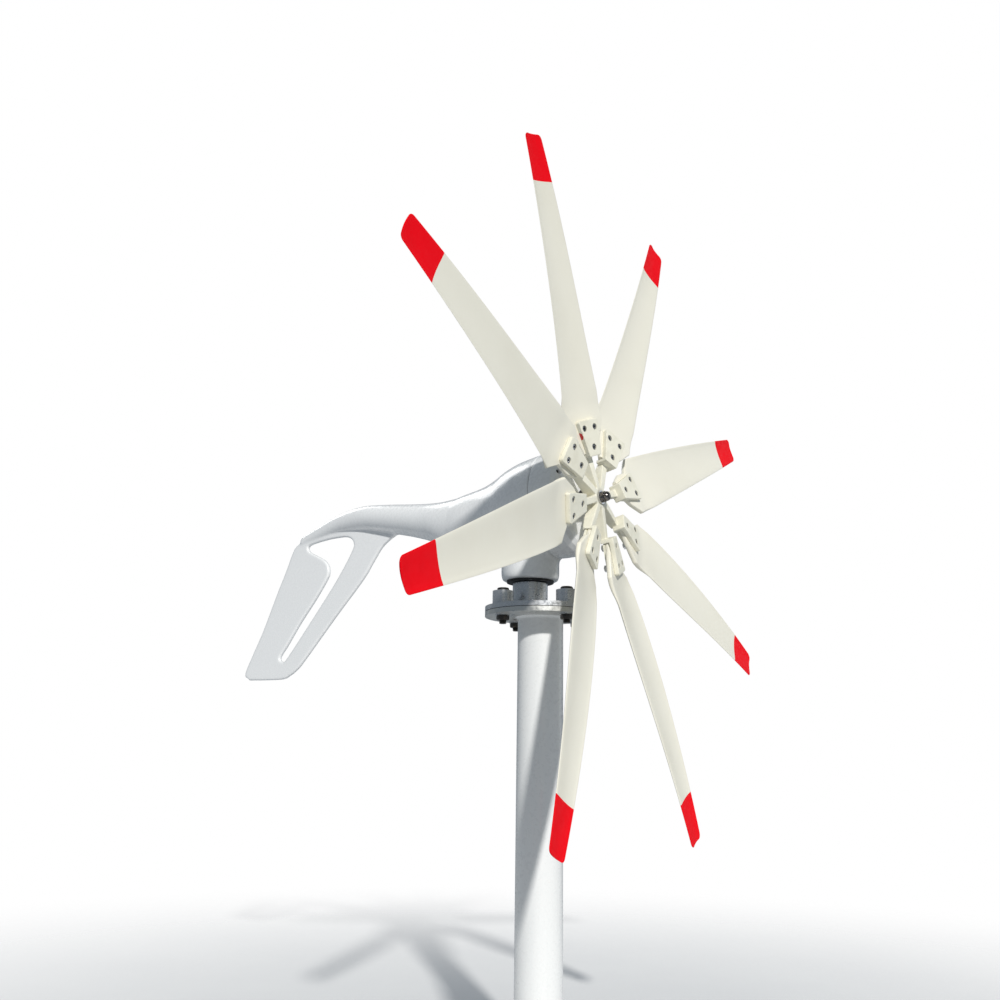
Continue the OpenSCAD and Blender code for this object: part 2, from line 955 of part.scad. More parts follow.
module blade_1() {
    blade(0);
}

module blade_2() {
    blade(1);
}

module blade_3() {
    blade(2);
}

module blade_4() {
    blade(3);
}

module blade_5() {
    blade(4);
}

module blade_6() {
    blade(5);
}

module blade_7() {
    blade(6);
}

module blade_8() {
    blade(7);
}

module blade_tips() {
    color(red)
        for (k = [0:blade_count - 1])
            blade_frame(k)
                blade_loft([for (r = tip_radii) [r, r == tip_radius ? 0.86 : 1]]);
}

module backing_plates() {
    color(cream)
        for (k = [0:blade_count - 1])
            blade_frame(k)
                pad_frame()
                    translate([0, 0, -pad_thickness - root_thickness - 0.05 - backing_thickness])
                        linear_extrude(backing_thickness)
                            difference() {
                                polygon([[77, 12], [77, -14], [127, -24], [127, 20]]);
                                for (p = blade_holes)
                                    translate(p)
                                        circle(d = blade_bolt_d + 0.4);
                            }
}

module blade_bolts() {
    color(dark)
        for (k = [0:blade_count - 1])
            blade_frame(k)
                pad_frame()
                    for (p = blade_holes)
                        translate([p[0], p[1], -head_depth]) {
                            translate([0, 0, -21.5])
                                cylinder(d = blade_bolt_d, h = 22);
                            difference() {
                                cylinder(d = head_d, h = 3.4);
                                translate([0, 0, 1.2])
                                    cylinder(d = 4.6, h = 5, $fn = 6);
                            }
                        }
}

module blade_nuts() {
    color(steel)
        for (k = [0:blade_count - 1])
            blade_frame(k)
                pad_frame()
                    for (p = blade_holes)
                        translate([p[0], p[1], -pad_thickness - root_thickness - 0.1 - backing_thickness - 5])
                            difference() {
                                cylinder(r = 5.77, h = 5, $fn = 6);
                                translate([0, 0, -1])
                                    cylinder(d = blade_bolt_d + 0.1, h = 7);
                            }
}

module main_shaft() {
    color(steel)
        hub_frame()
            difference() {
                union() {
                    translate([0, 0, 19.5])
                        cylinder(r = 8.48, h = 15);
                    translate([0, 0, 33.5])
                        cylinder(r = 10, h = 8);
                    translate([0, 0, 40])
                        cylinder(r = 12, h = front_bearing_z - 40);
                    translate([0, 0, 80])
                        cylinder(r = 9.98, h = 30);
                    translate([0, 0, 109])
                        cylinder(r = 8.5, h = hub_reach - 10 - 109);
                    translate([0, 0, 130])
                        cylinder(r = 4.98, h = hub_reach - 125.5);
                }
                translate([-2.5, 6.4, 113.5])
                    cube([5, 6, 18]);
            }
}

module shaft_key() {
    color(steel)
        hub_frame()
            translate([-2.48, 6.42, 113.6])
                cube([4.96, 4.7, 17.8]);
}

module hub_washer() {
    color(steel)
        hub_frame()
            translate([0, 0, hub_reach - 8])
                ring(5.2, 11.5, 2);
}

module cap_nut() {
    color(dark)
        hub_frame()
            translate([0, 0, hub_reach - 6])
                difference() {
                    union() {
                        cylinder(r = 9.8, h = 7, $fn = 6);
                        translate([0, 0, 7])
                            intersection() {
                                sphere(r = 8.2);
                                cylinder(r = 9, h = 9);
                            }
                    }
                    translate([0, 0, -1])
                        cylinder(r = 5.05, h = 12.2);
                }
}

module rotor_core() {
    color(steel)
        hub_frame()
            translate([0, 0, stack_z])
                difference() {
                    cylinder(r = 47.3, h = stack_length);
                    translate([0, 0, -1])
                        cylinder(r = 12.02, h = stack_length + 2);
                    for (k = [0:5])
                        rotate([0, 0, 60 * k])
                            translate([29, 0, -1])
                                cylinder(r = 8, h = stack_length + 2);
                }
}

module magnets() {
    color(alloy)
        hub_frame()
            translate([0, 0, stack_z])
                intersection() {
                    ring(47.35, 52.5, stack_length);
                    union() {
                        for (k = [0:magnet_count - 1])
                            rotate([0, 0, 360 / magnet_count * k])
                                translate([40, -11, 0])
                                    cube([20, 22, stack_length]);
                    }
                }
}

module rotor_bearing_inner_rings() {
    color(steel)
        hub_frame() {
            translate([0, 0, front_bearing_z])
                bearing_inner(b6204);
            translate([0, 0, rear_bearing_z])
                bearing_inner(b6203);
        }
}

module rotor_bearing_balls() {
    color(steel)
        hub_frame() {
            translate([0, 0, front_bearing_z])
                bearing_balls(b6204);
            translate([0, 0, rear_bearing_z])
                bearing_balls(b6203);
        }
}

module core_locknut() {
    color(steel)
        hub_frame()
            translate([0, 0, 41.5])
                ring(12.05, 17, 4.4);
}

foot_plate();
mast_tube();
mast_gussets();
mast_flange();
flange_gasket();
yaw_shaft();
flange_bolts();
flange_washers();
flange_nuts();
yaw_bearing_inner_rings();
yaw_locknut();
slip_ring_core();
slip_rings();
front_housing();
rear_housing();
housing_gasket();
housing_bolts();
tail_boom();
tail_fin();
tail_screws();
fin_pins();
rotor_bearing_outer_rings();
shaft_seal();
bearing_bracket();
bracket_screws();
stator_core();
stator_windings();
winding_leads();
brush_holder();
brush_leaves();
brushes();
brush_holder_screws();
yaw_bearing_outer_rings();
yaw_bearing_balls();
yaw_seal();
hub_casting();
blade_1();
blade_2();
blade_3();
blade_4();
blade_5();
blade_6();
blade_7();
blade_8();
blade_tips();
backing_plates();
blade_bolts();
blade_nuts();
main_shaft();
shaft_key();
hub_washer();
cap_nut();
rotor_core();
magnets();
rotor_bearing_inner_rings();
rotor_bearing_balls();
core_locknut();
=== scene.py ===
import json
import math
import bpy
import bmesh
from mathutils import Matrix, Vector, noise


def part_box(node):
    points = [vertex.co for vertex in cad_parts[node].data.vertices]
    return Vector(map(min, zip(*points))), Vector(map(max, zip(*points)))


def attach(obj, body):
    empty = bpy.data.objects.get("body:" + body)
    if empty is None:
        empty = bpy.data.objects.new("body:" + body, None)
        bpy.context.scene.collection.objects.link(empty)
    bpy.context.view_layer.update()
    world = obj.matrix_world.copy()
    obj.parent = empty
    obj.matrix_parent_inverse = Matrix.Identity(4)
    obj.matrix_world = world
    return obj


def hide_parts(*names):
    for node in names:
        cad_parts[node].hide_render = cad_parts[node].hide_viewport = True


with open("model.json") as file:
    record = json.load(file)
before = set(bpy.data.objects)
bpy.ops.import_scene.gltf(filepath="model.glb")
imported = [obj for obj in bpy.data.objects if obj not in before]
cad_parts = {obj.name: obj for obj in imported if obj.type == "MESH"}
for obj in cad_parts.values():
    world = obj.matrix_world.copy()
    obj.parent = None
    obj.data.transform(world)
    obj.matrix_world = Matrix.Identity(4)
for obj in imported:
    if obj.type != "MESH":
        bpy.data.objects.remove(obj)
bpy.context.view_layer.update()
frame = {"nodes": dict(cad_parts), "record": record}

scene = bpy.context.scene
# The default view transform dulls the red and the white paint
scene.view_settings.view_transform = "Standard"
MM = 0.001
record = frame["record"]
joints = {j["name"]: j for j in record["behaviour"]["joints"]}

# ------------------------------------------------------------ frames of the CAD, in millimetres
yaw_point = Vector(joints["yaw"]["pos_m"])
spin_point = Vector(joints["rotor_spin"]["pos_m"])
spin_axis = Vector(joints["rotor_spin"]["axis"]).normalized()
crossing = spin_point + spin_axis * ((yaw_point.y - spin_point.y) / spin_axis.y)
rotor_tilt = math.asin(-spin_axis.z)
YAW = Matrix.Translation(crossing) @ Matrix.Scale(MM, 4)
HEAD = YAW @ Matrix.Rotation(-rotor_tilt, 4, "X")
HUB = HEAD @ Matrix.Rotation(math.pi / 2, 4, "X")
MAST = Matrix.Translation((0, 0, crossing.z)) @ Matrix.Scale(MM, 4)
ROW = Matrix.Scale(MM, 4)

# Lengths in millimetres and angles in degrees, as in the CAD; camber is a share of the chord
blade_clock = 21.5
hub_reach = 146
rotor_plane = hub_reach + 17.5
root_pitch = 13
tip_pitch = 4
root_thickness = 8
pad_thickness = 8
end_wall_depth = 22
tip_radius = 602
red_radius = 524
root_end = 132.5
tongue_end = 100
trailing_start, trailing_full = 126, 148
leading_start, leading_full = 88, 127
blend_length = 46
mid_line_drop, mid_line_rise = 26.3, 28.7
camber = 0.055
foil_half, foil_taper = 3.9, 2.1
neck_radius = 49.5
stator_radius = 76
shell_wall = 5
seam_z = 50
seam_radius = 90.55
lip_z = -123.5
mast_top_z = -187
boss_top_z = -149
flange_bolt_radius = 75
flange_clock = 66
mast_radius = 38
thread_radius, thread_pitch = 5.98, 1.75
head_flats, nut_flats = 18, 19
blade_holes = [(84.6, -1.5), (117.2, 12.5), (117.2, -14)]
head_depth = 4.6
head_hole_radius = 5.4


def blade_frame(k):
    return HUB @ Matrix.Rotation(math.radians(blade_clock + 45 * k), 4, "Z")


def pad_frame(k):
    tilt = Matrix.Rotation(math.radians(-root_pitch), 4, "X")
    return blade_frame(k) @ Matrix.Translation((0, 0, hub_reach)) @ tilt


# ------------------------------------------------------------ camera
# Place in metres from the crossing of the two axes, then the directions of view and to the right
camera_offset = Vector((-1.4752, -0.9263, -0.4087))
camera_forward = Vector((0.80612, 0.54162, 0.23837))
camera_right = Vector((0.55452, -0.83203, 0.01525))
sensor_width = 36
focal_length = 37.096


def make_camera():
    data = bpy.data.cameras.new("camera")
    data.sensor_width = sensor_width
    data.lens = focal_length
    obj = bpy.data.objects.new("camera", data)
    scene.collection.objects.link(obj)
    forward = camera_forward.normalized()
    right = camera_right.normalized()
    up = right.cross(forward).normalized()
    right = forward.cross(up).normalized()
    turn = Matrix((right, up, -forward)).transposed().to_4x4()
    obj.matrix_world = Matrix.Translation(crossing + camera_offset) @ turn
    scene.camera = obj


make_camera()


# ------------------------------------------------------------ mesh helpers
def make_object(name, bm, body, material, replaced=(), smooth=40):
    mesh = bpy.data.meshes.new(name)
    bmesh.ops.recalc_face_normals(bm, faces=bm.faces)
    bm.to_mesh(mesh)
    bm.free()
    obj = bpy.data.objects.new(name, mesh)
    scene.collection.objects.link(obj)
    mesh.materials.append(material)
    shade(mesh, smooth)
    if body:
        finish_piece(obj, body, replaced)
    return obj


def finish_piece(obj, body, replaced=()):
    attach(obj, body)
    if replaced:
        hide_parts(*replaced)


def shade(mesh, angle):
    for p in mesh.polygons:
        p.use_smooth = True
    mesh.set_sharp_from_angle(angle=math.radians(angle))


def ring_loft(bm, rings, caps=True):
    """Skin through rings of points; every ring has the same count."""
    verts = [[bm.verts.new(p) for p in ring] for ring in rings]
    n = len(rings[0])
    for a, b in zip(verts[:-1], verts[1:]):
        for i in range(n):
            j = (i + 1) % n
            bm.faces.new((a[i], a[j], b[j], b[i]))
    if caps:
        bm.faces.new(list(reversed(verts[0])))
        bm.faces.new(verts[-1])


def circle_ring(radius, z, segments, matrix):
    return [matrix @ Vector((radius * math.cos(2 * math.pi * i / segments),
                             radius * math.sin(2 * math.pi * i / segments), z)) for i in range(segments)]


def lathe(bm, profile, matrix, segments):
    """profile: (radius, z) pairs, from one end of the axis to the other."""
    ring_loft(bm, [circle_ring(max(r, 0.01), z, segments, matrix) for r, z in profile])


def rod(bm, radius, low, high, matrix, segments):
    lathe(bm, [(0, low), (radius, low), (radius, high), (0, high)], matrix, segments)


def hex_radius(angle, across_flats):
    a = (angle + math.pi / 6) % (math.pi / 3) - math.pi / 6
    return across_flats / 2 / math.cos(a)


def hex_head(bm, flats, height, matrix, bore=0.0, segments=72, both=False):
    """Hexagon with a turned chamfer on top, and underneath too if both."""
    flat_r = flats / 2
    levels = []
    if both:
        levels += [(0, 0.96), (0.35, 1.02), (1.2, 1.12)]
    else:
        levels += [(0, 1.16)]
    levels += [(height - 1.3, 1.16), (height - 0.8, 1.06), (height - 0.25, 0.985), (height, 0.93)]
    rings = []
    if bore:
        rings.append(circle_ring(bore, 0, segments, matrix))
    for z, limit in levels:
        ring = []
        for i in range(segments):
            a = 2 * math.pi * i / segments
            r = min(hex_radius(a, flats), limit * flat_r)
            ring.append(matrix @ Vector((r * math.cos(a), r * math.sin(a), z)))
        rings.append(ring)
    if bore:
        rings.append(circle_ring(bore + 0.5, height, segments, matrix))
        rings.append(circle_ring(bore, height - 0.6, segments, matrix))
        rings.append(rings[0])
        ring_loft(bm, rings, caps=False)
    else:
        ring_loft(bm, rings)


def thread_profile(z0, z1, radius, pitch):
    """(r, z) pairs of a threaded length, as plain grooves."""
    out = [(0, z0), (radius - 1.0, z0), (radius - 0.1, z0 + 0.8)]
    z = z0 + 1.0
    while z + pitch < z1:
        out += [(radius, z), (radius, z + pitch * 0.15), (radius - pitch * 0.5, z + pitch * 0.5),
                (radius, z + pitch * 0.85)]
        z += pitch
    out += [(radius, z1), (0, z1)]
    return out


def cut(obj, cutter):
    """Takes the cutter's shape out of the object, and removes the cutter."""
    m = obj.modifiers.new("cut", "BOOLEAN")
    m.operation = "DIFFERENCE"
    m.object = cutter
    m.solver = "EXACT"
    apply_modifiers(obj)
    bpy.data.objects.remove(cutter)


def apply_modifiers(obj):
    graph = bpy.context.evaluated_depsgraph_get()
    new = bpy.data.meshes.new_from_object(obj.evaluated_get(graph))
    old = obj.data
    obj.modifiers.clear()
    obj.data = new
    bpy.data.meshes.remove(old)


def remesh(obj, voxel, rounds):
    """Joins what overlaps into one skin, then rounds its corners off a little."""
    m = obj.modifiers.new("remesh", "REMESH")
    m.mode = "VOXEL"
    m.voxel_size = voxel
    m.adaptivity = 0
    s = obj.modifiers.new("smooth", "SMOOTH")
    s.factor = 0.5
    s.iterations = rounds
    apply_modifiers(obj)
    for p in obj.data.polygons:
        p.use_smooth = True


def repaint(obj, material, angle):
    """One material over the whole mesh, with edges sharper than the angle left sharp."""
    obj.data.materials.clear()
    obj.data.materials.append(material)
    for p in obj.data.polygons:
        p.material_index = 0
    shade(obj.data, angle)


# ------------------------------------------------------------ materials
def new_material(name):
    m = bpy.data.materials.new(name)
    m.use_nodes = True
    nodes, links = m.node_tree.nodes, m.node_tree.links
    return m, nodes, links, nodes["Principled BSDF"]


def mapping(nodes, links, scale=(1, 1, 1)):
    coords = nodes.new("ShaderNodeTexCoord")
    move = nodes.new("ShaderNodeMapping")
    move.inputs["Scale"].default_value = scale
    links.new(coords.outputs["Object"], move.inputs["Vector"])
    return move.outputs["Vector"]


def noise_node(nodes, links, vector, scale, detail=4, rough=0.55):
    n = nodes.new("ShaderNodeTexNoise")
    n.inputs["Scale"].default_value = scale
    n.inputs["Detail"].default_value = detail
    n.inputs["Roughness"].default_value = rough
    links.new(vector, n.inputs["Vector"])
    return n.outputs["Fac"]


def ramp(nodes, links, value, low, high, a, b):
    r = nodes.new("ShaderNodeMapRange")
    r.interpolation_type = "SMOOTHSTEP"
    r.inputs["From Min"].default_value = low
    r.inputs["From Max"].default_value = high
    r.inputs["To Min"].default_value = a
    r.inputs["To Max"].default_value = b
    links.new(value, r.inputs["Value"])
    return r.outputs["Result"]


def mix_color(nodes, links, factor, a, b):
    m = nodes.new("ShaderNodeMix")
    m.data_type = "RGBA"
    if hasattr(factor, "node"):
        links.new(factor, m.inputs["Factor"])
    else:
        m.inputs["Factor"].default_value = factor
    for value, socket in ((a, m.inputs["A"]), (b, m.inputs["B"])):
        if hasattr(value, "node"):
            links.new(value, socket)
        else:
            socket.default_value = (*value, 1)
    return m.outputs["Result"]


def bump_chain(nodes, links, bsdf, heights):
    """heights: (value socket, strength, distance in metres) tuples."""
    normal = None
    for value, strength, distance in heights:
        b = nodes.new("ShaderNodeBump")
        b.inputs["Strength"].default_value = strength
        b.inputs["Distance"].default_value = distance
        links.new(value, b.inputs["Height"])
        if normal:
            links.new(normal, b.inputs["Normal"])
        normal = b.outputs["Normal"]
    links.new(normal, bsdf.inputs["Normal"])


def surface(name, base, dirt_and_shade, rough, metallic=0.0, coat=0.0, grain=900, grain_bump=0.08, patch=9,
            patch_amount=0.35, streak=None, rough_spread=0.12, wave_bump=0.0, spec=0.5):
    """Painted, moulded or metal surface: patches of a second tone, fine grain and uneven gloss. The second
    tone is dirt and wear, except on the socket bolts, where it is painted shade.
    """
    m, nodes, links, bsdf = new_material(name)
    vector = mapping(nodes, links)
    patches = noise_node(nodes, links, vector, patch, 5)
    fine = noise_node(nodes, links, vector, grain, 3)
    color = mix_color(nodes, links, ramp(nodes, links, patches, 0.42, 0.78, 0, patch_amount), base, dirt_and_shade)
    if streak:
        stretched = mapping(nodes, links, streak)
        lines = noise_node(nodes, links, stretched, 1.0, 6, 0.65)
        color = mix_color(nodes, links, ramp(nodes, links, lines, 0.5, 0.78, 0, patch_amount), color, dirt_and_shade)
    links.new(color, bsdf.inputs["Base Color"])
    mid = noise_node(nodes, links, vector, grain * 0.12, 4)
    gloss = ramp(nodes, links, mid, 0.3, 0.7, rough - rough_spread / 2, rough + rough_spread / 2)
    links.new(gloss, bsdf.inputs["Roughness"])
    bsdf.inputs["Metallic"].default_value = metallic
    bsdf.inputs["Coat Weight"].default_value = coat
    bsdf.inputs["Coat Roughness"].default_value = 0.12
    bsdf.inputs["Specular IOR Level"].default_value = spec
    heights = [(fine, grain_bump, 0.0002)]
    if wave_bump:
        heights.append((noise_node(nodes, links, vector, 26, 2), wave_bump, 0.001))
    bump_chain(nodes, links, bsdf, heights)
    return m, nodes, links, bsdf, color


cream_light = (0.86, 0.825, 0.71)
cream_dirt = (0.74, 0.70, 0.575)

blade_mat = surface("blade_nylon", cream_light, cream_dirt, 0.38, grain=700, grain_bump=0.10, patch=7,
                    patch_amount=0.30, wave_bump=0.06)[0]
hub_paint = surface("hub_paint", (0.85, 0.82, 0.69), (0.60, 0.565, 0.43), 0.42, grain=520,
                    grain_bump=0.30, patch=38, patch_amount=0.38, wave_bump=0.15)
hub_mat = hub_paint[0]
red_mat = surface("tip_red", (0.90, 0.001, 0.008), (0.74, 0.001, 0.006), 0.5, grain=800, grain_bump=0.08,
                  patch=22, patch_amount=0.45, wave_bump=0.05, spec=0.06)[0]
white_mat = surface("housing_paint", (0.87, 0.875, 0.88), (0.78, 0.79, 0.80), 0.28, coat=0.5, grain=1400,
                    grain_bump=0.05, patch=6, patch_amount=0.30, wave_bump=0.05)[0]
mast_mat = surface("mast_paint", (0.81, 0.815, 0.81), (0.72, 0.735, 0.74), 0.30, coat=0.4, grain=1200,
                   grain_bump=0.06, patch=5, patch_amount=0.35, streak=(110, 110, 1.6), wave_bump=0.05)[0]
zinc_mat = surface("flange_steel", (0.62, 0.62, 0.60), (0.42, 0.40, 0.33), 0.36, metallic=0.85, grain=1100,
                   grain_bump=0.15, patch=45, patch_amount=0.35, streak=(400, 400, 30), rough_spread=0.2)[0]
alloy_mat = surface("machined_alloy", (0.60, 0.61, 0.63), (0.40, 0.41, 0.42), 0.32, metallic=0.85, grain=1500,
                    grain_bump=0.12, patch=30, patch_amount=0.3, streak=(30, 30, 900), rough_spread=0.18)[0]
rubber_mat = surface("seal_rubber", (0.018, 0.018, 0.02), (0.05, 0.05, 0.05), 0.62, grain=900, grain_bump=0.3,
                     patch=60, patch_amount=0.6)[0]
dark_mat = surface("dark_fasteners", (0.055, 0.052, 0.05), (0.13, 0.10, 0.07), 0.38, metallic=0.85,
                   grain=1800, grain_bump=0.12, patch=160, patch_amount=0.6, rough_spread=0.2)[0]
bright_mat = surface("bright_steel", (0.66, 0.66, 0.67), (0.45, 0.45, 0.46), 0.22, metallic=1.0, grain=1600,
                     grain_bump=0.08, patch=90, patch_amount=0.4)[0]
chrome_mat = surface("cap_chrome", (0.20, 0.185, 0.175), (0.10, 0.08, 0.07), 0.12, metallic=1.0, grain=600,
                     grain_bump=0.05, patch=120, patch_amount=0.5)[0]
lamination_mat = surface("lamination_steel", (0.36, 0.37, 0.38), (0.20, 0.20, 0.21), 0.40, metallic=0.9,
                         grain=900, grain_bump=0.1, patch=60, patch_amount=0.5, streak=(40, 1600, 40))[0]
plastic_mat = surface("insulator_plastic", (0.035, 0.035, 0.04), (0.07, 0.07, 0.07), 0.45, grain=1200,
                      grain_bump=0.2, patch=80, patch_amount=0.5)[0]
copper_mat = surface("copper_parts", (0.72, 0.32, 0.15), (0.42, 0.16, 0.07), 0.30, metallic=0.95, grain=900,
                     grain_bump=0.12, patch=70, patch_amount=0.5, streak=(900, 60, 900))[0]
carbon_mat = surface("carbon", (0.02, 0.02, 0.02), (0.05, 0.05, 0.05), 0.7, grain=1500, grain_bump=0.3,
                     patch=90)[0]
lead_mat = surface("lead_insulation", (0.55, 0.03, 0.03), (0.35, 0.02, 0.02), 0.42, grain=900, grain_bump=0.1,
                   patch=90)[0]
magnet_mat = surface("magnet_plating", (0.62, 0.62, 0.63), (0.42, 0.42, 0.43), 0.2, metallic=1.0, grain=1100,
                     grain_bump=0.08, patch=70)[0]
# Steel cap screws mottled near-black in small patches: the dark patches are painted shade, standing in for
# the shadow in the counterbores round the heads
shaded_socket_mat = surface("socket_bolts_painted_shade", (0.34, 0.335, 0.33), (0.03, 0.03, 0.03), 0.24, metallic=1.0, grain=900,
                     grain_bump=0.1, patch=240, patch_amount=0.95)[0]
by_slot = {"mast_paint": mast_mat, "flange_steel": zinc_mat, "seal_rubber": rubber_mat,
           "machined_alloy": alloy_mat, "dark_fasteners": dark_mat, "bright_steel": bright_mat,
           "lamination_steel": lamination_mat, "insulator_plastic": plastic_mat, "copper_parts": copper_mat,
           "carbon": carbon_mat, "lead_insulation": lead_mat, "housing_paint": white_mat,
           "hub_paint": hub_mat, "blade_nylon": blade_mat, "tip_red": red_mat, "cap_chrome": chrome_mat,
           "magnet_plating": magnet_mat}


def add_dab(paint, centre, inner, outer, waver, color):
    """A dab of another colour around one point of a painted surface, with an uneven edge, in metres."""
    nodes, links, bsdf, base = paint[1:]
    coords = nodes.new("ShaderNodeTexCoord")
    distance = nodes.new("ShaderNodeVectorMath")
    distance.operation = "DISTANCE"
    distance.inputs[1].default_value = centre
    links.new(coords.outputs["Object"], distance.inputs[0])
    wobble = nodes.new("ShaderNodeMath")
    wobble.operation = "MULTIPLY_ADD"
    links.new(noise_node(nodes, links, mapping(nodes, links), 260, 2), wobble.inputs[0])
    wobble.inputs[1].default_value = waver
    links.new(distance.outputs["Value"], wobble.inputs[2])
    dab = ramp(nodes, links, wobble.outputs["Value"], inner, outer, 1, 0)
    links.new(mix_color(nodes, links, dab, base, color), bsdf.inputs["Base Color"])


# Red assembly paint on the side of one pad, and on nothing else
add_dab(hub_paint, pad_frame(2) @ Vector((105, 24, -7)), 0.0092, 0.0100, 0.004, (0.55, 0.012, 0.014))

for part in record["subparts"]:
    node = frame["nodes"][part["node"]]
    node.data.materials.clear()
    node.data.materials.append(by_slot[part["material_slot"]])
    shade(node.data, 32)
# The blade bolts take the steel with the painted shade of their counterbores
frame["nodes"]["blade_bolts"].data.materials[0] = shaded_socket_mat


def bevel_nodes(names, width, segments=2):
    for name in names:
        m = frame["nodes"][name].modifiers.new("edge", "BEVEL")
        m.width = width * MM
        m.segments = segments
        m.limit_method = "ANGLE"
        m.angle_limit = math.radians(40)
        m.harden_normals = True
        m.use_clamp_overlap = True


bevel_nodes(["foot_plate", "mast_gussets"], 1.2)
bevel_nodes(["mast_flange", "yaw_shaft"], 0.9)
bevel_nodes(["front_housing"], 0.8)
bevel_nodes(["backing_plates"], 0.8)
bevel_nodes(["blade_bolts"], 0.35)


# ------------------------------------------------------------ blades
def span(r):
    return max(0.0, (r - root_end) / (tip_radius - root_end))


def tongue(r):
    return 16 + (min(r, tongue_end) - 76) * 0.4


def widen(r, start, full, b):
    t = min(1.0, max(0.0, (r - start) / (full - start)))
    return tongue(r) + (b - tongue(r)) * t


def trailing(r):
    return widen(r, trailing_start, trailing_full, 49 - 24.7 * span(r) ** 1.5)


def leading(r):
    return widen(r, leading_start, leading_full, 53 - 30 * span(r))


def pitch(r):
    return math.radians(tip_pitch + (root_pitch - tip_pitch) * (1 - span(r)) ** 4.5)


def blend(r):
    """0 on the flat root, 1 where the blade has its full section."""
    t = min(1.0, max(0.0, (r - root_end) / blend_length))
    return t * t * (3 - 2 * t)


def mid_z(r):
    root = hub_reach - (pad_thickness + root_thickness / 2 + 0.02) / math.cos(math.radians(root_pitch))
    outer = rotor_plane - mid_line_drop + mid_line_rise * (1 - (1 - span(r)) ** 1.75)
    return root * (1 - blend(r)) + outer * blend(r)


def foil(u):
    """Half thickness of a NACA four-digit section, scaled so that its peak is 1."""
    return max(0.0, 2.969 * math.sqrt(u) - 1.26 * u - 3.516 * u * u + 2.843 * u ** 3 - 1.036 * u ** 4)


corner = 8.0


def edge_trim(r):
    """How far the rounded corners of the tip come in."""
    d = r - (tip_radius - corner)
    return 0.0 if d <= 0 else corner - math.sqrt(max(0.0, corner ** 2 - d ** 2))


def blade_ring(r, count, matrix):
    lead, trail = leading(r) - edge_trim(r), trailing(r) - edge_trim(r)
    chord = lead + trail
    b = blend(r)
    past = (r - tip_radius + 2) / 2
    thin = 1.0 if r < tip_radius - 2 else max(0.25, math.sqrt(max(0.0, 1 - past ** 2)))
    turn = -pitch(r)
    points = []
    for side in (1, -1):
        indices = range(count + 1) if side == 1 else range(count - 1, 0, -1)
        for i in indices:
            u = (1 - math.cos(math.pi * i / count)) / 2
            near = min(u, 1 - u) * chord
            edge = math.sqrt(max(0.0, 1 - (1 - min(1.0, near / 2.4)) ** 2))
            section = max(0.6 * edge, (foil_half - foil_taper * span(r)) * foil(u))
            t = (1 - b) * root_thickness / 2 * edge + b * section
            y = -lead + chord * u
            z = -4 * camber * chord * b * u * (1 - u) + side * t * thin
            points.append(matrix @ Vector((r, y * math.cos(turn) - z * math.sin(turn),
                                           mid_z(r) + y * math.sin(turn) + z * math.cos(turn))))
    return points


def stations(a, b, step):
    n = max(1, round((b - a) / step))
    return [a + (b - a) * i / n for i in range(n + 1)]


chord_steps = 30
blade_stations = stations(76, leading_start, 4) + stations(leading_start, 164, 2)
blade_stations += stations(164, red_radius, 12) + [leading_full]
blade_stations = sorted(set(blade_stations))
tip_stations = stations(red_radius, tip_radius - corner, 10)
tip_stations += [tip_radius - corner + corner * math.sin(math.pi / 2 * i / 8) for i in range(1, 9)]

tips = bmesh.new()
for k in range(8):
    bm = bmesh.new()
    ring_loft(bm, [blade_ring(r, chord_steps, blade_frame(k)) for r in blade_stations])
    name, node = "blade_moulding_%d" % (k + 1), "blade_%d" % (k + 1)
    make_object(name, bm, "rotor", blade_mat, [node], 35)
    ring_loft(tips, [blade_ring(r, chord_steps, blade_frame(k)) for r in tip_stations])
make_object("blade_tip_paint", tips, "rotor", red_mat, ["blade_tips"], 35)


# ------------------------------------------------------------ hub casting
def prism(bm, outline, z0, z1, matrix):
    ring_loft(bm, [[matrix @ Vector((x, y, z)) for x, y in outline] for z in (z0, z1)])


def scratch(bm, name="scratch"):
    """An object with no material or body yet, to be cut or remeshed, or to cut with."""
    mesh = bpy.data.meshes.new(name)
    bmesh.ops.recalc_face_normals(bm, faces=bm.faces)
    bm.to_mesh(mesh)
    bm.free()
    obj = bpy.data.objects.new(name, mesh)
    scene.collection.objects.link(obj)
    return obj


pad_outline = [(72, 14), (72, -16), (127.5, -26.5), (131, -24), (131, 21), (128, 23.5)]
end_wall_outline = [(69.5, 13.4), (69.5, -15.4), (75.5, -16.2), (75.5, 14.2)]
# Each row of a spoke: distance from the shaft, half width, top, underside, and turn in degrees
spoke_rows = [(6, 5.0, -8, -30, 0), (22, 5.4, -8.5, -29.5, -2), (42, 5.8, -10.5, -29, -6),
              (60, 6.2, -12.5, -28, -10), (73, 6.8, -14, -26, -13)]
bolt_hole_radius = 3.2
shaft_hole_radius = 8.6


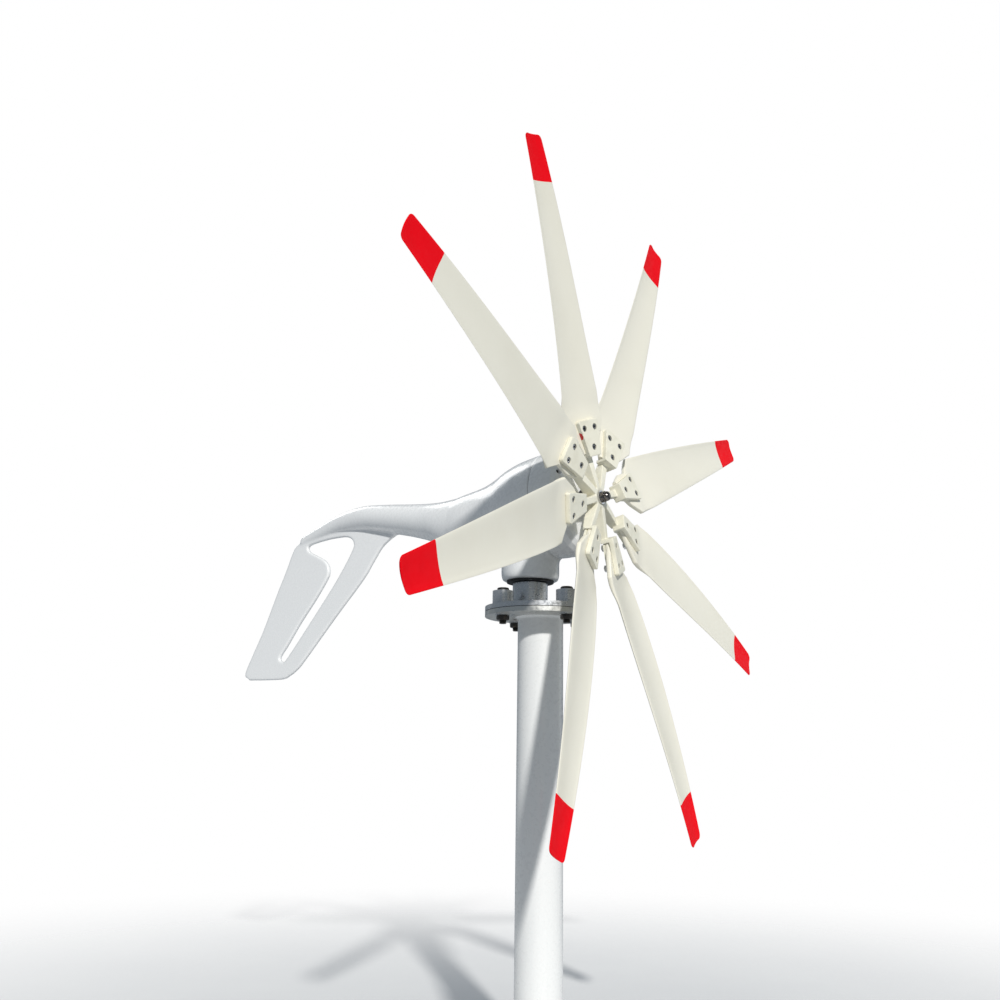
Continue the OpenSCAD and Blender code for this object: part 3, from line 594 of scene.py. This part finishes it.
def make_hub():
    bm = bmesh.new()
    cuts = bmesh.new()
    core_low, core_top = hub_reach - 33, hub_reach - 8
    lathe(bm, [(0, core_low), (17, core_low), (18, core_low + 2), (18, core_top - 1.5), (16.5, core_top),
               (0, core_top)], HUB, 64)
    for k in range(8):
        pad = pad_frame(k)
        prism(bm, pad_outline, -pad_thickness, 0, pad)
        prism(bm, end_wall_outline, -end_wall_depth, 0, pad)
        rings = []
        for r, w, top, bottom, turn in spoke_rows:
            c, s = math.cos(math.radians(turn)), math.sin(math.radians(turn))
            ring = []
            for y, z in ((-w, bottom), (w, bottom), (w, top), (-w, top)):
                ring.append(blade_frame(k) @ Vector((r, y * c - z * s, hub_reach + y * s + z * c)))
            rings.append(ring)
        ring_loft(bm, rings)
        for x, y in blade_holes:
            place = pad @ Matrix.Translation((x, y, 0))
            rod(cuts, head_hole_radius, -head_depth, 1.5, place, 32)
            rod(cuts, bolt_hole_radius, -pad_thickness - 2, -head_depth + 1, place, 24)
    rod(cuts, shaft_hole_radius, 100, hub_reach - 12, HUB, 48)
    cone_low = hub_reach - 12.5
    lathe(cuts, [(0, cone_low), (14, cone_low + 4.4), (14, hub_reach + 4), (0, hub_reach + 4)], HUB, 48)
    hub = scratch(bm, "hub_spider")
    remesh(hub, 1.0 * MM, 2)
    cut(hub, scratch(cuts))
    repaint(hub, hub_mat, 38)
    finish_piece(hub, "rotor", ["hub_casting"])


make_hub()

# ------------------------------------------------------------ dome nut on the rotor shaft
bm = bmesh.new()
nut_base = hub_reach - 6
hex_head(bm, 17, 7, HUB @ Matrix.Translation((0, 0, nut_base)))
dome_radius, dome_base, dome_rise = 8.2, 8.6, 6.6
dome = [(0.01, 6.9), (7.6, 6.9), (8.15, 7.6), (dome_radius, dome_base)]
for i in range(1, 15):
    a = math.pi / 2 * i / 14
    dome.append((dome_radius * math.cos(a), dome_base + dome_rise * math.sin(a)))
lathe(bm, dome, HUB @ Matrix.Translation((0, 0, nut_base)), 64)
make_object("dome_nut", bm, "rotor", chrome_mat, ["cap_nut"], 32)

# ------------------------------------------------------------ flange fasteners
bolts, nuts = bmesh.new(), bmesh.new()
for k in range(4):
    spot = MAST @ Matrix.Rotation(math.radians(flange_clock + 90 * k), 4, "Z")
    spot = spot @ Matrix.Translation((flange_bolt_radius, 0, 0))
    head_at = spot @ Matrix.Translation((0, 0, boss_top_z + 1.2)) @ Matrix.Rotation(0.3 * k, 4, "Z")
    nut_at = spot @ Matrix.Translation((0, 0, mast_top_z - 10)) @ Matrix.Rotation(0.5 + 0.4 * k, 4, "Z")
    hex_head(bolts, head_flats, 4.2, head_at)
    lathe(bolts, thread_profile(mast_top_z - 16, mast_top_z - 1, thread_radius, thread_pitch), spot, 32)
    rod(bolts, thread_radius, mast_top_z - 1, boss_top_z + 1.5, spot, 32)
    hex_head(nuts, nut_flats, 8, nut_at, bore=6.1, both=True)
make_object("flange_bolt_set", bolts, "mast", dark_mat, ["flange_bolts"], 30)
make_object("flange_nut_set", nuts, "mast", dark_mat, ["flange_nuts"], 30)


# ------------------------------------------------------------ weld beads on the mast
def weld_ring(bm, radius, z, size, up):
    """Rippled fillet bead in the corner between a tube and a plate."""
    rings = []
    steps = 260
    for i in range(steps):
        a = 2 * math.pi * i / steps
        uneven = noise.noise(Vector((math.cos(a) * 4, math.sin(a) * 4, z)))
        ripple = 1 + 0.10 * math.sin(a * 62) + 0.10 * uneven
        s = size * ripple
        ring = []
        for j in range(8):
            t = math.pi / 2 * j / 7
            ring.append((radius - 0.4 + s * (1 - math.sin(t)) ** 0.9, s * (1 - math.cos(t)) ** 0.9))
        ring.append((radius - 0.4, 0))
        rings.append([ROW @ Vector((r * math.cos(a), r * math.sin(a), z + up * h)) for r, h in ring])
    n = len(rings[0])
    verts = [[bm.verts.new(p) for p in ring] for ring in rings]
    for i in range(steps):
        a, b = verts[i], verts[(i + 1) % steps]
        for j in range(n):
            q = (j + 1) % n
            bm.faces.new((a[j], a[q], b[q], b[j]))


bm = bmesh.new()
plate_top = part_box("mast_tube")[0][2] / MM
flange_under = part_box("mast_tube")[1][2] / MM
weld_ring(bm, mast_radius, plate_top, 6.5, 1)
weld_ring(bm, mast_radius, flange_under, 5.5, -1)
make_object("mast_welds", bm, "mast", mast_mat, (), 60)

# ------------------------------------------------------------ rear shell, boom and fin
# Housing: position along the rotor shaft, and radius
shell_profile = [(105, 70), (103.5, 78), (99, 85), (91, 89.5), (76, 91), (56, 91), (36, 89.5), (13, 86.5),
                 (-2, 83.6), (-24, 77), (-48, 67), (-72, 59), (-95, 54.5), (-115, 52), (-133, 49.5),
                 (-150, 46.5)]
# Boom: distance behind the yaw axis, height of its middle over the rotor axis, half height, half width
boom_start = (140, 1, 46.5, 46.5)
boom = [(150, 1, 46.5, 46.5), (182, 5, 42, 42), (217, 14.5, 35.5, 36.5), (255, 24, 31.5, 33),
        (294, 33, 29, 30), (334, 41.5, 26.5, 27), (373, 48.5, 24, 24), (413, 50, 20.5, 20),
        (451, 47.5, 16.5, 15.5), (487, 40.5, 13, 11.5), (520, 33, 10.5, 8.5), (544, 27, 8.5, 7)]
# Fin: distance behind the yaw axis and height over the rotor axis, for its outline and its window
fin_outer = [(293, 25), (298, 6), (315, -3), (335, -16), (357, -42), (382, -72), (453, -138), (529, -211),
             (549, -228), (570, -239), (593, -244), (676, -239), (688, -234), (691, -222), (668, -182),
             (645, -144), (623, -101), (602, -60), (584, -27), (571, 0), (560, 18), (544, 27), (520, 33),
             (488, 39), (451, 42), (413, 42), (374, 39), (334, 33)]
fin_inner = [(519, 17), (475, 21), (431, 20), (412, 14), (404, 3), (409, -13), (447, -64), (510, -134),
             (575, -203), (588, -209), (596, -201), (576, -178), (543, -138), (503, -95), (475, -61),
             (468, -48), (469, -34), (478, -21), (496, -10), (518, 2), (525, 10)]
fin_thickness = 9
# The rounded part of the fin's edge, as a share of its half thickness
fin_round = 0.55
# The corner that soften() works on: how far out and how low and high it reaches, from the yaw axis
fillet_radius, fillet_low, fillet_high = 86, -112, -52


def spline(points, count, closed=False):
    """Catmull-Rom through the points, count samples for each span."""
    n = len(points)
    out = []
    for i in range(n if closed else n - 1):
        p = [points[(i + j) % n] if closed else points[min(max(i + j, 0), n - 1)] for j in (-1, 0, 1, 2)]
        for s in range(count):
            t = s / count
            out.append(tuple(0.5 * (2 * p1 + (p2 - p0) * t + (2 * p0 - 5 * p1 + 4 * p2 - p3) * t * t
                                    + (3 * p1 - p0 - 3 * p2 + p3) * t ** 3) for p0, p1, p2, p3 in zip(*p)))
    if not closed:
        out.append(points[-1])
    return out


def fin_solid(outline, half, matrix):
    """Slab with rounded edges, from a closed outline in the head's mid plane."""
    curve = bpy.data.curves.new("fin", "CURVE")
    curve.dimensions = "2D"
    curve.fill_mode = "BOTH"
    curve.extrude = half * 0.45
    curve.bevel_depth = half * fin_round
    curve.bevel_resolution = 4
    for loop in outline:
        s = curve.splines.new("POLY")
        s.points.add(len(loop) - 1)
        for point, (y, z) in zip(s.points, loop):
            point.co = (y, z, 0, 1)
        s.use_cyclic_u = True
    obj = bpy.data.objects.new("fin", curve)
    scene.collection.objects.link(obj)
    mesh = bpy.data.meshes.new_from_object(obj)
    mesh.transform(matrix @ Matrix(((0, 0, 1, 0), (1, 0, 0, 0), (0, 1, 0, 0), (0, 0, 0, 1))))
    bpy.data.objects.remove(obj)
    return mesh


def inset(loop, distance):
    """Moves a closed outline inwards (anticlockwise) by a distance."""
    n = len(loop)
    area = sum(loop[i][0] * loop[(i + 1) % n][1] - loop[(i + 1) % n][0] * loop[i][1] for i in range(n))
    sign = 1 if area > 0 else -1
    out = []
    for i in range(n):
        a, b = Vector(loop[i - 1]), Vector(loop[(i + 1) % n])
        t = (b - a).normalized()
        out.append((loop[i][0] - sign * t.y * distance, loop[i][1] + sign * t.x * distance))
    return out


def soften(shell, rounds):
    """Rolls a generous fillet into the corner between the neck and the underside of the housing."""
    group = shell.vertex_groups.new(name="fillet")
    to_yaw = YAW.inverted()
    for v in shell.data.vertices:
        p = to_yaw @ v.co
        out = math.hypot(p.x, p.y)
        if out < fillet_radius and fillet_low < p.z < fillet_high:
            weight = min(1.0, (p.z - fillet_low) / 18, (fillet_high - p.z) / 14)
            weight *= min(1.0, (fillet_radius - out) / 20)
            group.add([v.index], weight, "REPLACE")
    m = shell.modifiers.new("fillet", "SMOOTH")
    m.factor = 0.5
    m.iterations = rounds
    m.vertex_group = "fillet"
    apply_modifiers(shell)
    shell.vertex_groups.clear()


def make_shell():
    bm = bmesh.new()
    body = [(seam_radius, seam_z)] + [(r, z) for z, r in shell_profile if z < seam_z]
    lathe(bm, [(0, seam_z)] + spline(body, 6) + [(0, -150)], HUB, 160)
    neck = [(0, -50), (neck_radius, -50), (neck_radius, lip_z + 12), (neck_radius - 0.5, lip_z + 8),
            (neck_radius - 1.4, lip_z + 4), (neck_radius - 3.4, lip_z), (0, lip_z)]
    lathe(bm, neck, YAW, 160)
    rings = []
    for y, z, half_height, half_width in [boom_start] + spline(boom, 8):
        ring = []
        for i in range(64):
            a = 2 * math.pi * i / 64
            ring.append(HEAD @ Vector((half_width * math.cos(a), y, z + half_height * math.sin(a))))
        rings.append(ring)
    ring_loft(bm, rings)
    shell = scratch(bm, "rear_shell")
    outer = inset(spline(fin_outer, 5, True), fin_thickness / 2 * fin_round)
    inner = inset(spline(fin_inner, 5, True), -fin_thickness / 2 * fin_round)
    fin = fin_solid([outer, inner], fin_thickness / 2, HEAD)
    both = bmesh.new()
    both.from_mesh(shell.data)
    both.from_mesh(fin)
    both.to_mesh(shell.data)
    both.free()
    remesh(shell, 2.0 * MM, 6)
    soften(shell, 70)
    return shell


def hollow_shell(shell):
    """Cuts out the room for the generator and the yaw bearings, and a fine groove where the boom begins."""
    bm = bmesh.new()
    land = seam_z - 8
    inner = [(0, -146)] + [(r - shell_wall, z) for z, r in reversed(shell_profile) if -148 < z < land]
    inner += [(seam_radius - shell_wall - 0.5, land), (stator_radius + 0.5, land),
              (stator_radius + 0.5, seam_z + 30), (0, seam_z + 30)]
    lathe(bm, inner, HUB, 96)
    cut(shell, scratch(bm))
    bm = bmesh.new()
    groove = [(46.0, -150), (50, -149.2), (50, -150.8)]
    turns = [HUB @ Matrix.Rotation(2 * math.pi * i / 96, 4, "Z") for i in range(97)]
    ring_loft(bm, [[turn @ Vector((r, 0, z)) for r, z in groove] for turn in turns], caps=False)
    bmesh.ops.remove_doubles(bm, verts=bm.verts, dist=1e-6)
    cut(shell, scratch(bm))
    bm = bmesh.new()
    bores = [(0, lip_z - 6), (40.2, lip_z - 6), (40.2, lip_z + 2), (31.05, lip_z + 2), (31.05, lip_z + 18),
             (26.05, lip_z + 18.5), (26.05, lip_z + 39), (42, lip_z + 39.2), (42, -30), (0, -30)]
    lathe(bm, bores, YAW, 96)
    cut(shell, scratch(bm))


shell = make_shell()
hollow_shell(shell)
repaint(shell, white_mat, 50)
finish_piece(shell, "head", ["rear_housing", "tail_boom", "tail_fin"])


# ------------------------------------------------------------ stage and light
def make_stage():
    """Pale round floor whose rim fades away into the white room."""
    bm = bmesh.new()
    rings = [circle_ring(r, 0, 128, Matrix()) for r in (0.01, 0.5, 1.0, 1.6, 2.4)]
    ring_loft(bm, rings, caps=False)
    m, nodes, links, bsdf = new_material("floor")
    vector = mapping(nodes, links)
    tone = noise_node(nodes, links, vector, 2.5, 4)
    share = ramp(nodes, links, tone, 0.3, 0.7, 0, 1)
    shade_of_white = mix_color(nodes, links, share, (0.86, 0.86, 0.86), (0.83, 0.83, 0.835))
    links.new(shade_of_white, bsdf.inputs["Base Color"])
    bsdf.inputs["Roughness"].default_value = 0.8
    bsdf.inputs["Specular IOR Level"].default_value = 0.1
    bump_chain(nodes, links, bsdf, [(noise_node(nodes, links, vector, 300, 3), 0.05, 0.0005)])
    length = nodes.new("ShaderNodeVectorMath")
    length.operation = "LENGTH"
    links.new(vector, length.inputs[0])
    links.new(ramp(nodes, links, length.outputs["Value"], 0.35, 2.3, 1, 0), bsdf.inputs["Alpha"])
    floor = make_object("floor", bm, None, m, (), 40)
    floor.location.z = -0.001


make_stage()


def sun_light(name, source, power, softness, color):
    data = bpy.data.lights.new(name, "SUN")
    data.energy = power
    data.angle = math.radians(softness)
    data.color = color
    obj = bpy.data.objects.new(name, data)
    scene.collection.objects.link(obj)
    obj.rotation_euler = (-Vector(source)).to_track_quat("-Z", "Y").to_euler()


def make_lights():
    world = bpy.data.worlds.new("studio")
    world.use_nodes = True
    nodes, links = world.node_tree.nodes, world.node_tree.links
    back = nodes["Background"]
    back.inputs["Color"].default_value = (0.74, 0.87, 1.0, 1)
    back.inputs["Strength"].default_value = 0.25
    seen = nodes.new("ShaderNodeBackground")
    seen.inputs["Color"].default_value = (1, 1, 1, 1)
    seen.inputs["Strength"].default_value = 1.0
    path = nodes.new("ShaderNodeLightPath")
    mix = nodes.new("ShaderNodeMixShader")
    links.new(path.outputs["Is Camera Ray"], mix.inputs["Fac"])
    links.new(back.outputs["Background"], mix.inputs[1])
    links.new(seen.outputs["Background"], mix.inputs[2])
    links.new(mix.outputs["Shader"], nodes["World Output"].inputs["Surface"])
    scene.world = world
    sun_light("key", (-0.60, -0.64, 0.48), 3.0, 3, (1.0, 0.985, 0.95))
    sun_light("fill", (0.8, -0.5, 0.25), 0.25, 40, (0.90, 0.95, 1.0))
    sun_light("rim", (0.2, 0.8, 0.6), 0.6, 30, (1.0, 0.99, 0.97))


make_lights()
